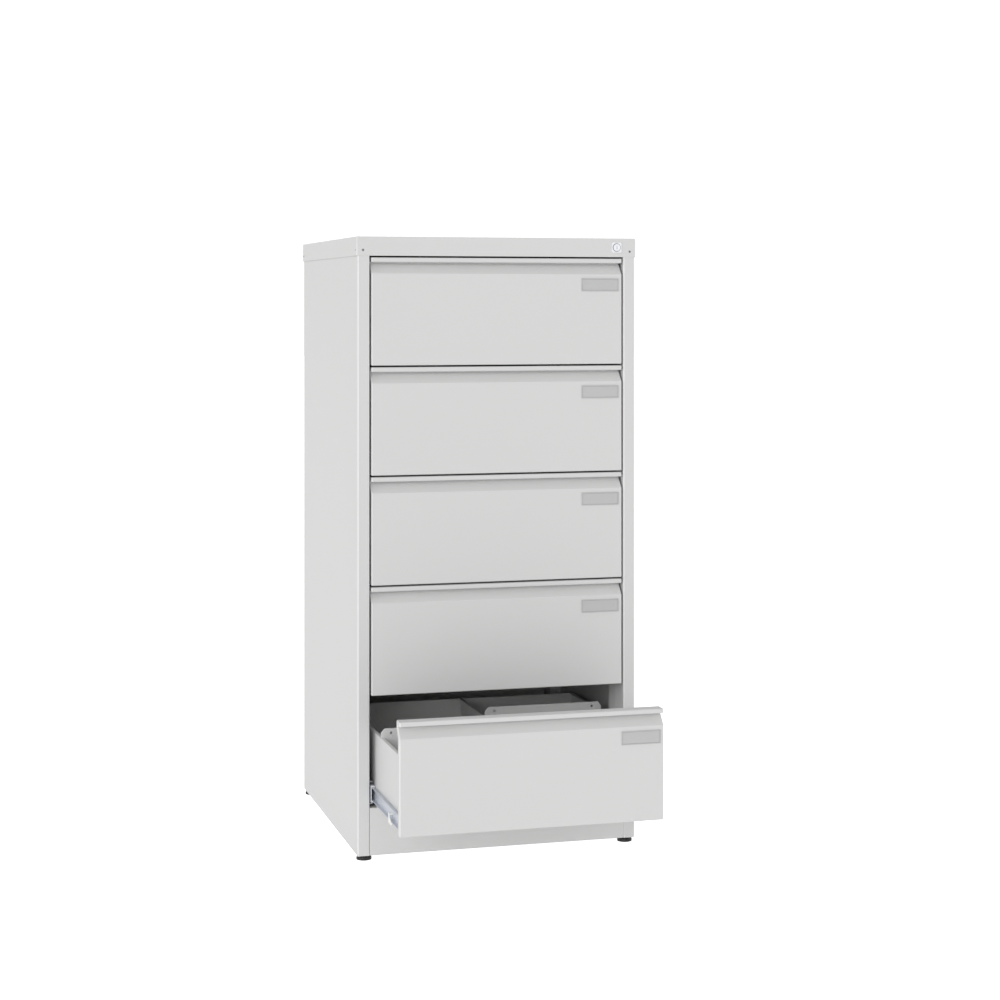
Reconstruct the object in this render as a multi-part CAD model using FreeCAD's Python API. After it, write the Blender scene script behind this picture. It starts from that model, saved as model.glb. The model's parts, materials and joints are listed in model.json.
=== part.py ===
import FreeCAD, Part

import math
import os

Vector = FreeCAD.Vector

# Steel card-filing cabinet with five drawers. The bottom drawer stands partly open.
# Cabinet frame while building: x = 0 at the middle, y = 0 at the face of the front posts and
# growing to the rear, z = 0 on the floor. Each drawer is built closed, then pulled out.

# ---------------------------------------------------------------- driving dimensions, mm

# Case
CABINET_WIDTH = 594.0       # across the outsides of the two side panels
CABINET_DEPTH = 630.0       # face of the posts to the back of the cap
CABINET_HEIGHT = 1271.0     # floor to the top of the cap
FOOT_HEIGHT = 10.0          # floor to the underside of the case
SHEET = 1.0                 # sheet steel of the case and the drawers
POST_WIDTH = 24.7           # front post, seen from the front
POST_DEPTH = 50.0           # the post's fold back into the case
POST_BEND = 1.5             # inside radius of the post's folds
BEND = 0.6                  # inside radius of all the other folds
REAR_FLANGE = 20.0          # inward fold along the rear edge of a side panel
PLINTH_HEIGHT = 97.0        # plinth below the lowest drawer
PLINTH_FLANGE = 24.0        # plinth's folds at its top and bottom edge
BASE_FLANGE = 20.0          # upward folds along the sides of the base
SEAM = 0.2                  # gap where two sheets meet

# Cap
CAP_SKIRT = 39.0            # height of the cap's skirt
CAP_OVERHANG = 2.0          # how far the cap stands past the side panels and the rear
CAP_ROUND = 1.4             # rounding of the cap's outer edges
CAP_RETURN = 13.0           # fold back at the foot of the front skirt

# Uprights that carry the slides
UPRIGHT_WIDTH = 50.0        # along the depth of the case
UPRIGHT_REAR_SETBACK = 42.0 # rear upright to the back of the case

# Drawers
DRAWER_COUNT = 5
FRONT_GAP = 3.4             # between two drawer fronts, and at the top and bottom of the opening
SIDE_GAP = 4.0              # drawer front to post
OPEN_AT_REST = 262.0        # how far the bottom drawer stands open
LIP_HEIGHT = 9.5            # rounded grip lip along the top of a front
LIP_DEPTH = 28.0            # the lip's top, front to back
LIP_HOOK = 12.0             # fold down at the back of the lip
GROOVE_HEIGHT = 23.5        # finger groove below the lip
GROOVE_DEPTH = 21.0         # how far the groove reaches in under the lip
FRONT_BEND = 1.2            # inside radius of the folds of a front
FRONT_FLANGE = 14.0         # folds back along the sides and the foot of a front
FRONT_HEM = 12.0            # fold up behind the foot of a front
FRONT_EDGE_ROUND = 2.0      # rounding where the face turns into its side folds
CHEEK = 2.2                 # thickness of a side fold, which is doubled over
CORNER_NOTCH = 3.0          # relief where two folds of a front meet
TRAY_LIFT = 5.0             # foot of the front to the underside of the tray
WALL_HEIGHT = 143.0         # height of the tray's walls
WALL_TOP_FLANGE = 7.0       # inward fold on top of a side wall
WALL_FOOT_FLANGE = 7.0      # inward fold under the floor
TRAY_REAR_ROOM = 40.0       # rear of the tray to the back of the cabinet

# Divider and separators
DIVIDER_HEM = 6.0           # width of the folded top and foot of the middle divider
DIVIDER_HEM_HEIGHT = 9.0
SEPARATOR_RISE = 19.0       # separator above the tray's walls
SEPARATOR_LIFT = 4.0        # separator above the tray's floor
SEPARATOR_CHAMFER = 7.0
SEPARATOR_EAR = 10.0        # height of the ears that rest on the walls
SEPARATOR_HOLE_RADIUS = 2.5
SEPARATOR_HOLE_INSET = 21.0 # hole to the end of the ear
SEPARATOR_HOLE_DROP = 9.0   # hole to the top of the separator
LEFT_SEPARATOR_PLACE = 213.0    # behind the face of its drawer
RIGHT_SEPARATOR_PLACE = 375.0
SEAT_GAP = 0.2              # between a piece that slides and what it rests on
EDGE_ROOM = 0.8             # separator to wall, at its two ends

# Label holder
LABEL_WIDTH = 81.0
LABEL_HEIGHT = 26.4
LABEL_DEPTH = 1.8
LABEL_RIM = 1.6
LABEL_BACK = 0.8            # thickness of the plate behind the card
LABEL_RIGHT_INSET = 7.2     # holder to the edge of the front
LABEL_DROP = 41.6           # holder to the top of the front

# Ball-bearing slides, three members each
SLIDE_SPACE = 12.8          # tray to post, taken up by the slide
SLIDE_RISE = 24.0           # middle of the slide above the foot of the front
SLIDE_SETBACK = 16.0        # front end of the members behind the face of the posts
MIDDLE_SETBACK = 136.0      # the same for the middle members, which are shorter, drawer closed
SLIDE_REAR_ROOM = 4.0       # rear end of the members to the rear of the tray
OUTER_MEMBER = (46.0, 9.4, 1.3)     # height, depth and sheet of the member on the case
MIDDLE_MEMBER = (35.0, 7.8, 1.2)
INNER_MEMBER = (27.0, 7.6, 1.2)     # member on the drawer
MIDDLE_INSET = 2.9          # back of the outer member to the back of the middle one
CAGE_LENGTH = 150.0         # ball cages between the members
CAGE_DEPTH = 3.2
CAGE_END_ROOM = 24.0        # cage to the end of its member
CAGE_GAP = 0.3
SCREW_RADIUS = 2.0
SCREW_HEAD_RADIUS = 3.5
SCREW_HEAD = 1.1
SCREW_LENGTH = 5.0
SCREW_HOLE_GAP = 0.1

# Lock
LOCK_INSET = 15.3           # axis of the lock to the edge of the opening
LOCK_DROP = 19.0            # axis of the lock below the top of the cap
LOCK_PLATE = 21.0
LOCK_PLATE_THICKNESS = 1.5
LOCK_PLATE_ROUND = 3.0
LOCK_RING_RADIUS = 7.5
LOCK_RING = 1.7
LOCK_BARREL_RADIUS = 8.0
LOCK_BARREL_LENGTH = 20.0
LOCK_NUT_WIDTH = 22.0
LOCK_NUT = 4.0
LOCK_CORE_RADIUS = 6.0
LOCK_RUNNING_GAP = 0.05
KEYWAY = (1.6, 7.0, 4.0)    # width, height and depth
CAM_ARM = 9.0               # axis of the lock to the cam's pin
CAM_WIDTH = 8.0
CAM_THICKNESS = 2.0
CAM_PIN_RADIUS = 2.0
CAM_REST_ANGLE = -45.0      # pin's place below the level, unlocked
PIN_PLAY = 0.45             # pin in the bar's slot
BAR_WIDTH = 16.0            # lock bar, along the depth of the case
BAR_THICKNESS = 2.0
BAR_INSET = 15.0            # lock bar behind the face of the posts
BAR_POST_GAP = 2.2          # post's fold to the lock bar
BAR_ARM_MARGIN = 2.4        # steel above and below the slot
LUG_HEIGHT = 10.0
LUG_THICKNESS = 3.0
LUG_INSET = 6.0             # front edge of the bar to the lug
LUG_TRAY_GAP = 2.5          # end of the lug to the tray's wall
CATCH_RISE = 60.0           # foot of the front to the catch on the tray
CATCH_HEIGHT = 15.0
CATCH_LENGTH = 20.0
CATCH_THICKNESS = 1.5
CATCH_PLAY = 2.0            # locked lug to the catch
CATCH_POST_GAP = 2.0
LUG_CLEAR = 1.7             # unlocked lug below the catch
GUIDE_HEIGHT = 14.0
GUIDE_WALL = 3.0
GUIDE_PLAY = 0.3
GUIDE_RISE = 120.0          # foot of a front to the guide behind it

# Feet
FOOT_SIDE_INSET = 16.5      # axis of the foot to the outside of the side panel
FOOT_END_INSET = 18.0       # axis of the foot to the front or the rear of the case
FOOT_PAD_RADIUS = 15.5
FOOT_PAD_HEIGHT = 6.0
FOOT_COLLAR_RADIUS = 9.0
FOOT_COLLAR_GAP = 0.4
FOOT_SOCKET_FLOOR = 2.0
STUD_RADIUS = 4.0
STUD_TOP = 44.0
STUD_GAP = 0.05
NUT_WIDTH = 13.0
NUT_HEIGHT = 6.5

# Rivets of the cap
RIVET_RADIUS = 1.6
RIVET_HEAD_RADIUS = 2.6
RIVET_HEAD = 0.9
RIVET_INSET = 13.0          # rivet to the corner of the cap
RIVET_DROP = 27.5           # rivet below the top of the cap
RIVET_TAIL = 1.5
RIVET_BORE_RADIUS = 1.1     # hole that is left in the middle of a blind rivet
RIVET_HOLE_GAP = 0.1

# ---------------------------------------------------------------- sizes that follow

HALF_WIDTH = CABINET_WIDTH / 2
OPENING_HALF = HALF_WIDTH - POST_WIDTH
CAP_HALF = HALF_WIDTH + CAP_OVERHANG
CASE_REAR = CABINET_DEPTH - CAP_OVERHANG
CAP_FOOT = CABINET_HEIGHT - CAP_SKIRT
CASE_TOP = CABINET_HEIGHT - SHEET
REAR_PANEL_FRONT = CASE_REAR - 2 * SHEET
PLINTH_TOP = FOOT_HEIGHT + PLINTH_HEIGHT
UPRIGHT_FRONT = POST_DEPTH + SEAM
UPRIGHT_REAR = CASE_REAR - UPRIGHT_REAR_SETBACK

FRONT_HEIGHT = (CAP_FOOT - PLINTH_TOP - (DRAWER_COUNT + 1) * FRONT_GAP) / DRAWER_COUNT
FRONT_HALF = OPENING_HALF - SIDE_GAP
TRAY_HALF = OPENING_HALF - SLIDE_SPACE
TRAY_REAR = CABINET_DEPTH - TRAY_REAR_ROOM
TRAY_FLOOR = TRAY_LIFT + 2 * SHEET
TRAY_TOP = TRAY_LIFT + WALL_HEIGHT
SLIDE_REAR = TRAY_REAR - SLIDE_REAR_ROOM

LOCK_X = OPENING_HALF - LOCK_INSET
LOCK_Z = CABINET_HEIGHT - LOCK_DROP
CORE_REAR = LOCK_BARREL_LENGTH + 0.3
CAM_REAR = CORE_REAR + CAM_THICKNESS
ARM_FRONT = CAM_REAR + 1.0
BAR_INNER = OPENING_HALF + SHEET + BAR_POST_GAP
BAR_OUTER = BAR_INNER + BAR_THICKNESS
LOCK_LIFT = 2 * CAM_ARM * math.sin(math.radians(-CAM_REST_ANGLE))
LUG_REST = CATCH_RISE - LUG_CLEAR - LUG_HEIGHT
LUG_FRONT = BAR_INSET + LUG_INSET
CATCH_FRONT = LUG_FRONT + LUG_THICKNESS + CATCH_PLAY

# The row frame has its origin under the middle of the whole object, bottom drawer open.
ROW_SHIFT = Vector(0, (OPEN_AT_REST + LABEL_DEPTH - CABINET_DEPTH) / 2, 0)


# ---------------------------------------------------------------- shape helpers

def box(low, high):
    """Solid box between two opposite corners."""
    return Part.makeBox(high[0] - low[0], high[1] - low[1], high[2] - low[2], Vector(*low))


def rod(radius, start, end):
    """Solid cylinder between two points."""
    run = Vector(*end) - Vector(*start)
    return Part.makeCylinder(radius, run.Length, Vector(*start), run)


def hexagon(width, start, end):
    """Hexagonal prism, width across its flats, along y or z. Two flats face x."""
    run = Vector(*end) - Vector(*start)
    corner = width / math.sqrt(3)
    side = Vector(0, 0, 1).cross(run).normalize() if abs(run.z) < abs(run.y) else Vector(1, 0, 0)
    up = run.cross(side).normalize()
    points = []
    for i in range(7):
        angle = math.radians(60 * i + 30)
        points.append(Vector(*start) + side * corner * math.cos(angle) + up * corner * math.sin(angle))
    return Part.Face(Part.makePolygon(points)).extrude(run)


def rounded_face(corners):
    """Flat face through (point, radius) corners, each rounded by its radius."""
    entries = []
    exits = []
    edges = []
    count = len(corners)
    for i, (point, radius) in enumerate(corners):
        if radius == 0:
            entries.append(point)
            exits.append(point)
            continue
        back = (corners[i - 1][0] - point).normalize()
        ahead = (corners[(i + 1) % count][0] - point).normalize()
        half = back.getAngle(ahead) / 2
        entry = point + back * (radius / math.tan(half))
        leave = point + ahead * (radius / math.tan(half))
        middle = point + (back + ahead).normalize() * (radius / math.sin(half) - radius)
        edges.append(Part.Arc(entry, middle, leave).toShape())
        entries.append(entry)
        exits.append(leave)
    for i in range(count):
        edges.append(Part.LineSegment(exits[i], entries[(i + 1) % count]).toShape())
    return Part.Face(Part.Wire(Part.__sortEdges__(edges)))


def shifted(line, distance):
    """Mitred copy of an open line of flat points, moved to its left by a distance."""
    moved = []
    for i, point in enumerate(line):
        normals = []
        if i > 0:
            normals.append(Vector(0, 0, 1).cross(point - line[i - 1]).normalize())
        if i < len(line) - 1:
            normals.append(Vector(0, 0, 1).cross(line[i + 1] - point).normalize())
        total = sum(normals, Vector())
        moved.append(point + total * (distance / total.dot(normals[0])))
    return moved


def bent_sheet(path, thickness, bend):
    """Section of a folded sheet. The path is one skin, and the sheet lies to its left."""
    near = [Vector(u, v) for u, v in path]
    far = shifted(near, thickness)
    near_corners = [(near[0], 0)]
    far_corners = [(far[0], 0)]
    for i in range(1, len(near) - 1):
        turns_left = (near[i] - near[i - 1]).cross(near[i + 1] - near[i]).z > 0
        near_corners.append((near[i], bend + thickness if turns_left else bend))
        far_corners.append((far[i], bend if turns_left else bend + thickness))
    near_corners.append((near[-1], 0))
    far_corners.append((far[-1], 0))
    return rounded_face(near_corners + far_corners[::-1])


def flat_face(points):
    """Flat face with straight edges through 2-D points."""
    corners = [Vector(u, v) for u, v in points]
    return Part.Face(Part.makePolygon(corners + corners[:1]))


def rise(face, bottom, top):
    """Prism from a plan (x, y), between two heights."""
    solid = face.extrude(Vector(0, 0, top - bottom))
    solid.translate(Vector(0, 0, bottom))
    return solid


def span(face, left, right):
    """Prism from a side view (y, z), between two places along x."""
    solid = face.extrude(Vector(0, 0, right - left))
    solid.translate(Vector(0, 0, left))
    solid.rotate(Vector(), Vector(1, 1, 1), 120)
    return solid


def run_back(face, front, rear):
    """Prism from a front view (x, z), between two places along y."""
    solid = face.extrude(Vector(0, 0, rear - front))
    solid.translate(Vector(0, 0, -rear))
    solid.rotate(Vector(), Vector(1, 0, 0), 90)
    return solid


def mirrored(solid):
    """The same solid on the other side of the cabinet."""
    return solid.mirror(Vector(), Vector(1, 0, 0))


def both_sides(solids):
    """Solids made for the right side, with their mirror copies."""
    return solids + [mirrored(solid) for solid in solids]


def fused(solids):
    """One solid out of several that touch."""
    return solids[0].multiFuse(solids[1:]).removeSplitter()


def save(name, solids):
    """Write one node, moved into the row frame."""
    shape = Part.makeCompound(solids) if len(solids) > 1 else solids[0].copy()
    shape.translate(ROW_SHIFT)
    shape.exportStep("parts/" + name + ".step")


# ---------------------------------------------------------------- places that repeat

def front_foot(number):
    """Height of the lower edge of a drawer's front. Drawer 1 is at the top."""
    below = DRAWER_COUNT - number
    return PLINTH_TOP + FRONT_GAP + below * (FRONT_HEIGHT + FRONT_GAP)


def drawer_numbers():
    return range(1, DRAWER_COUNT + 1)


def upright_ranges():
    """Front and rear ends of the front and the rear upright."""
    return [
        (UPRIGHT_FRONT, UPRIGHT_FRONT + UPRIGHT_WIDTH),
        (UPRIGHT_REAR - UPRIGHT_WIDTH, UPRIGHT_REAR),
    ]


def slide_screw_places():
    """Places of a slide's screws along y, one in the middle of each upright."""
    return [(front + rear) / 2 for front, rear in upright_ranges()]


def side_rivet_places():
    return [RIVET_INSET, CABINET_DEPTH - RIVET_INSET]


# ---------------------------------------------------------------- case

def rivet_cutters():
    """Clearance holes for the rivets on the right side of the cap and its front."""
    radius = RIVET_RADIUS + RIVET_HOLE_GAP
    height = CABINET_HEIGHT - RIVET_DROP
    inner = HALF_WIDTH - 2 * SHEET
    cutters = [rod(radius, (CAP_HALF - RIVET_INSET, -1, height), (CAP_HALF - RIVET_INSET, 3 * SHEET, height))]
    for place in side_rivet_places():
        cutters.append(rod(radius, (inner, place, height), (CAP_HALF + 1, place, height)))
    return cutters


def plain_side_panel():
    """Right side panel: front post, side and rear flange folded from one sheet."""
    below_cap = bent_sheet(
        [(OPENING_HALF, POST_DEPTH), (OPENING_HALF, 0), (HALF_WIDTH, 0),
         (HALF_WIDTH, CASE_REAR), (HALF_WIDTH - REAR_FLANGE, CASE_REAR)],
        SHEET, POST_BEND)
    behind_skirt = bent_sheet(
        [(OPENING_HALF + 2 * SHEET, SHEET + SEAM), (HALF_WIDTH, SHEET + SEAM),
         (HALF_WIDTH, CASE_REAR), (HALF_WIDTH - REAR_FLANGE, CASE_REAR)],
        SHEET, POST_BEND)
    panel = fused([
        rise(below_cap, FOOT_HEIGHT, CAP_FOOT - SEAM),
        rise(behind_skirt, CAP_FOOT - SEAM, CASE_TOP),
    ])
    return panel.cut(rivet_cutters())


def right_side_panel():
    """The right panel also has a slot for each lug of the lock bar."""
    slots = []
    for number in drawer_numbers():
        low = front_foot(number) + LUG_REST - 1
        high = low + LUG_HEIGHT + LOCK_LIFT + 2
        slots.append(box(
            (OPENING_HALF - 1, LUG_FRONT - 1, low),
            (OPENING_HALF + SHEET + 1, LUG_FRONT + LUG_THICKNESS + 1, high)))
    return plain_side_panel().cut(slots)


def rear_panel():
    """Flat sheet against the rear flanges, standing on the base."""
    half = HALF_WIDTH - SHEET - POST_BEND - SEAM
    return box((-half, REAR_PANEL_FRONT, FOOT_HEIGHT + SHEET), (half, REAR_PANEL_FRONT + SHEET, CASE_TOP))


def top_cap():
    """Folded lid with a skirt all round and a fold at the foot of its front."""
    shell = box((-CAP_HALF, 0, CAP_FOOT), (CAP_HALF, CABINET_DEPTH, CABINET_HEIGHT))
    outer_edges = []
    for edge in shell.Edges:
        middle = edge.CenterOfMass
        if middle.z > CAP_FOOT + SHEET:
            outer_edges.append(edge)
    shell = shell.makeFillet(CAP_ROUND, outer_edges)
    hollow = box(
        (SHEET - CAP_HALF, SHEET, CAP_FOOT - 1),
        (CAP_HALF - SHEET, CABINET_DEPTH - SHEET, CABINET_HEIGHT - SHEET))
    half = OPENING_HALF - SEAM
    front_return = box((-half, 0.5 * SHEET, CAP_FOOT), (half, CAP_RETURN, CAP_FOOT + SHEET))
    lock_hole = rod(LOCK_BARREL_RADIUS + SCREW_HOLE_GAP, (LOCK_X, -1, LOCK_Z), (LOCK_X, 2 * SHEET, LOCK_Z))
    cutters = rivet_cutters()
    cutters += [mirrored(cutter) for cutter in cutters]
    return fused([shell.cut(hollow), front_return]).cut(cutters + [lock_hole])


def plinth_panel():
    """Channel between the posts, below the lowest drawer."""
    low = FOOT_HEIGHT + SHEET
    section = bent_sheet(
        [(PLINTH_FLANGE, PLINTH_TOP), (0, PLINTH_TOP), (0, low), (PLINTH_FLANGE, low)], SHEET, BEND)
    half = OPENING_HALF - SEAM
    return span(section, -half, half)


def base_panel():
    """Floor of the case, with folds up along its sides between the uprights."""
    half = HALF_WIDTH - SHEET - SEAM
    front = SHEET + SEAM
    low = FOOT_HEIGHT
    rear = REAR_PANEL_FRONT + SHEET
    corners = []
    for x, y in ((-half, front), (half, front), (half, rear), (-half, rear)):
        corners.append((Vector(x, y), POST_BEND))
    sheet = rise(rounded_face(corners), low, low + SHEET)
    flange_front = UPRIGHT_FRONT + UPRIGHT_WIDTH + 10
    flange_rear = UPRIGHT_REAR - UPRIGHT_WIDTH - 10
    flange = box((half - SHEET, flange_front, low), (half, flange_rear, low + BASE_FLANGE))
    notch = box((OPENING_HALF - 0.5, 0, 0), (OPENING_HALF + SHEET + 0.5, POST_DEPTH + 0.5, PLINTH_TOP))
    holes = []
    for x, y in foot_places():
        holes.append(rod(STUD_RADIUS + 0.5, (x, y, low - 1), (x, y, low + 2)))
    return fused([sheet] + both_sides([flange])).cut(both_sides([notch]) + holes)


def uprights():
    """Four channels that carry the slides."""
    solids = []
    reach = HALF_WIDTH - SHEET - SEAM
    bottom = FOOT_HEIGHT + SHEET
    for front, rear in upright_ranges():
        section = bent_sheet(
            [(reach, rear), (OPENING_HALF, rear), (OPENING_HALF, front), (reach, front)], SHEET, BEND)
        channel = rise(section, bottom, CAP_FOOT)
        holes = []
        for number in drawer_numbers():
            height = front_foot(number) + SLIDE_RISE
            middle = (front + rear) / 2
            holes.append(rod(
                SCREW_RADIUS + SCREW_HOLE_GAP,
                (OPENING_HALF - 1, middle, height), (OPENING_HALF + 2 * SHEET, middle, height)))
        solids.append(channel.cut(holes))
    return both_sides(solids)


def cap_rivets():
    """Blind rivets with domed heads, two in the front of the cap and two in each side."""
    height = CABINET_HEIGHT - RIVET_DROP
    dome_radius = (RIVET_HEAD_RADIUS ** 2 + RIVET_HEAD ** 2) / (2 * RIVET_HEAD)
    seats = [(Vector(CAP_HALF - RIVET_INSET, 0, height), Vector(0, 1, 0), 2 * SHEET + SEAM)]
    for place in side_rivet_places():
        seats.append((Vector(CAP_HALF, place, height), Vector(-1, 0, 0), 2 * SHEET + CAP_OVERHANG - SHEET))
    solids = []
    for seat, inward, grip in seats:
        sphere = Part.makeSphere(dome_radius, seat + inward * (dome_radius - RIVET_HEAD))
        head = sphere.common(Part.makeCylinder(RIVET_HEAD_RADIUS + 1, RIVET_HEAD + 1, seat, inward * -1))
        shank = Part.makeCylinder(RIVET_RADIUS, grip + RIVET_TAIL, seat, inward)
        bore = Part.makeCylinder(RIVET_BORE_RADIUS, RIVET_HEAD + grip, seat - inward * RIVET_HEAD, inward)
        solids.append(fused([head, shank]).cut(bore))
    return both_sides(solids)


# ---------------------------------------------------------------- feet

def foot_places():
    """Axes of the four feet, in plan."""
    x = HALF_WIDTH - FOOT_SIDE_INSET
    return [
        (-x, FOOT_END_INSET), (x, FOOT_END_INSET),
        (-x, CASE_REAR - FOOT_END_INSET), (x, CASE_REAR - FOOT_END_INSET),
    ]


def foot_nuts():
    """Threaded nuts welded on the base, one over each foot."""
    solids = []
    seat = FOOT_HEIGHT + SHEET
    for x, y in foot_places():
        nut = hexagon(NUT_WIDTH, (x, y, seat), (x, y, seat + NUT_HEIGHT))
        solids.append(nut.cut(rod(STUD_RADIUS + STUD_GAP, (x, y, seat - 1), (x, y, seat + NUT_HEIGHT + 1))))
    return solids


def levelling_foot(x, y):
    """Round pad on the floor and its threaded stud."""
    pad = fused([
        rod(FOOT_PAD_RADIUS, (x, y, 0), (x, y, FOOT_PAD_HEIGHT)),
        rod(FOOT_COLLAR_RADIUS, (x, y, FOOT_PAD_HEIGHT / 2), (x, y, FOOT_HEIGHT - FOOT_COLLAR_GAP)),
    ])
    upper_rim = [edge for edge in pad.Edges if abs(edge.BoundBox.ZMin - FOOT_PAD_HEIGHT) < 0.01
                 and edge.BoundBox.ZLength < 0.01 and edge.BoundBox.XLength > 2 * FOOT_COLLAR_RADIUS + 1]
    pad = pad.makeFillet(FOOT_PAD_HEIGHT / 3, upper_rim)
    stud = rod(STUD_RADIUS, (x, y, FOOT_SOCKET_FLOOR), (x, y, STUD_TOP))
    return [pad.cut(stud), stud]


# ---------------------------------------------------------------- slides

def channel(size, inset, opens_inward):
    """Section (x, z) of one right-hand slide member about its middle. Inset is from the case side."""
    height, depth, sheet = size
    half = height / 2
    if opens_inward:
        back = OPENING_HALF - inset
        path = [(back - depth, half), (back, half), (back, -half), (back - depth, -half)]
        return bent_sheet(path[::-1], sheet, BEND)
    back = TRAY_HALF
    path = [(back + depth, half), (back, half), (back, -half), (back + depth, -half)]
    return bent_sheet(path, sheet, BEND)


def slide_screw(seat_x, grip_sign, place, height):
    """Pan-head screw along x. The head lies on the seat, and the shank runs to grip_sign."""
    head = rod(SCREW_HEAD_RADIUS, (seat_x, place, height), (seat_x - grip_sign * SCREW_HEAD, place, height))
    shank = rod(SCREW_RADIUS, (seat_x, place, height), (seat_x + grip_sign * SCREW_LENGTH, place, height))
    return fused([head, shank])


def slide_outer_members():
    """Members screwed to the uprights, one on each side of each drawer."""
    solids = []
    sheet = OUTER_MEMBER[2]
    for number in drawer_numbers():
        height = front_foot(number) + SLIDE_RISE
        member = run_back(channel(OUTER_MEMBER, 0, True), SLIDE_SETBACK, SLIDE_REAR)
        member.translate(Vector(0, 0, height))
        holes = []
        for place in slide_screw_places():
            holes.append(rod(
                SCREW_RADIUS + SCREW_HOLE_GAP,
                (OPENING_HALF - 2 * sheet, place, height), (OPENING_HALF + 1, place, height)))
        solids.append(member.cut(holes))
    return both_sides(solids)


def slide_screws():
    """Screws that hold the outer members to the uprights."""
    solids = []
    seat = OPENING_HALF - OUTER_MEMBER[2]
    for number in drawer_numbers():
        for place in slide_screw_places():
            solids.append(slide_screw(seat, 1, place, front_foot(number) + SLIDE_RISE))
    return both_sides(solids)


def ball_cage(low, high, x_low, front):
    """Strip that holds a row of balls between two members."""
    return box((x_low, front, low), (x_low + CAGE_DEPTH, front + CAGE_LENGTH, high))


def slide_middles(number):
    """Middle members with the ball cages that run in them."""
    height = front_foot(number) + SLIDE_RISE
    middle_half = MIDDLE_MEMBER[0] / 2
    inner_half = INNER_MEMBER[0] / 2
    member = run_back(channel(MIDDLE_MEMBER, MIDDLE_INSET, True), MIDDLE_SETBACK, SLIDE_REAR)
    outer_race = OUTER_MEMBER[0] / 2 - OUTER_MEMBER[2] - CAGE_GAP
    middle_race = middle_half - MIDDLE_MEMBER[2]
    outer_cage_x = OPENING_HALF - OUTER_MEMBER[1] + 1
    inner_cage_x = TRAY_HALF + INNER_MEMBER[1] - CAGE_DEPTH - 1
    rear_cage = SLIDE_REAR - CAGE_END_ROOM - CAGE_LENGTH
    front_cage = MIDDLE_SETBACK + CAGE_END_ROOM
    solids = [member]
    for up in (1, -1):
        outer = sorted((up * middle_half, up * outer_race))
        inner = sorted((up * (inner_half + CAGE_GAP), up * middle_race))
        solids.append(ball_cage(outer[0], outer[1], outer_cage_x, rear_cage))
        solids.append(ball_cage(inner[0], inner[1], inner_cage_x, front_cage))
    for solid in solids:
        solid.translate(Vector(0, 0, height))
    return both_sides(solids)


def drawer_runners(number):
    """Members on the drawer, with the screws that hold them to the tray."""
    height = front_foot(number) + SLIDE_RISE
    sheet = INNER_MEMBER[2]
    member = run_back(channel(INNER_MEMBER, 0, False), SLIDE_SETBACK, SLIDE_REAR)
    member.translate(Vector(0, 0, height))
    solids = [member.cut([runner_screw_hole(place, height) for place in slide_screw_places()])]
    for place in slide_screw_places():
        solids.append(slide_screw(TRAY_HALF + sheet, -1, place, height))
    return both_sides(solids)


def runner_screw_hole(place, height):
    """Clearance hole through the drawer's member and the tray's wall."""
    return rod(
        SCREW_RADIUS + SCREW_HOLE_GAP,
        (TRAY_HALF - 2 * SHEET, place, height), (TRAY_HALF + 2 * SHEET, place, height))


# ---------------------------------------------------------------- drawers

def drawer_front(foot):
    """Folded front: grip lip, finger groove, face, and folds at its sides and foot."""
    top = foot + FRONT_HEIGHT
    lip_foot = top - LIP_HEIGHT
    face_top = lip_foot - GROOVE_HEIGHT
    section = bent_sheet(
        [(LIP_DEPTH, top - LIP_HOOK), (LIP_DEPTH, top), (0, top), (0, lip_foot), (GROOVE_DEPTH, lip_foot),
         (0, face_top), (0, foot), (FRONT_FLANGE, foot), (FRONT_FLANGE, foot + FRONT_HEM)],
        SHEET, FRONT_BEND)
    skin = span(section, -FRONT_HALF, FRONT_HALF)
    corner = FRONT_BEND + SHEET
    cheek_face = rounded_face([
        (Vector(0, top), corner), (Vector(0, lip_foot), corner), (Vector(GROOVE_DEPTH, lip_foot), FRONT_BEND),
        (Vector(0, face_top), corner), (Vector(0, foot), corner), (Vector(FRONT_FLANGE, foot), corner),
        (Vector(FRONT_FLANGE, face_top), 0), (Vector(LIP_DEPTH, top - LIP_HOOK), 0),
        (Vector(LIP_DEPTH, top), corner)])
    cheek = span(cheek_face, FRONT_HALF - CHEEK, FRONT_HALF)
    notch = box(
        (FRONT_HALF - CORNER_NOTCH, CORNER_NOTCH, foot - 1),
        (FRONT_HALF + 1, FRONT_FLANGE + 1, foot + CORNER_NOTCH))
    front = fused([skin] + both_sides([cheek])).cut(both_sides([notch]))
    side_edges = []
    for edge in front.Edges:
        middle = edge.CenterOfMass
        on_side = edge.BoundBox.XLength < 0.01 and abs(abs(middle.x) - FRONT_HALF) < 0.01
        on_face = middle.y < edge_limit(middle.z, lip_foot, face_top) and middle.z > foot
        if on_side and on_face:
            side_edges.append(edge)
    return front.makeFillet(FRONT_EDGE_ROUND, side_edges)


def edge_limit(height, lip_foot, face_top):
    """How far back the outer skin of a front reaches at a height, with a little to spare."""
    if face_top < height < lip_foot + 0.01:
        return GROOVE_DEPTH * (height - face_top) / (lip_foot - face_top) + 1.0
    return 1.0


def tray_side(foot):
    """Right wall of the tray with its folds and the holes for the runner's screws."""
    top = foot + TRAY_TOP
    low = foot + TRAY_LIFT
    section = bent_sheet(
        [(TRAY_HALF - WALL_FOOT_FLANGE, low), (TRAY_HALF, low),
         (TRAY_HALF, top), (TRAY_HALF - WALL_TOP_FLANGE, top)],
        SHEET, BEND)
    wall = run_back(section, FRONT_FLANGE, TRAY_REAR)
    return wall.cut([runner_screw_hole(place, foot + SLIDE_RISE) for place in slide_screw_places()])


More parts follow.
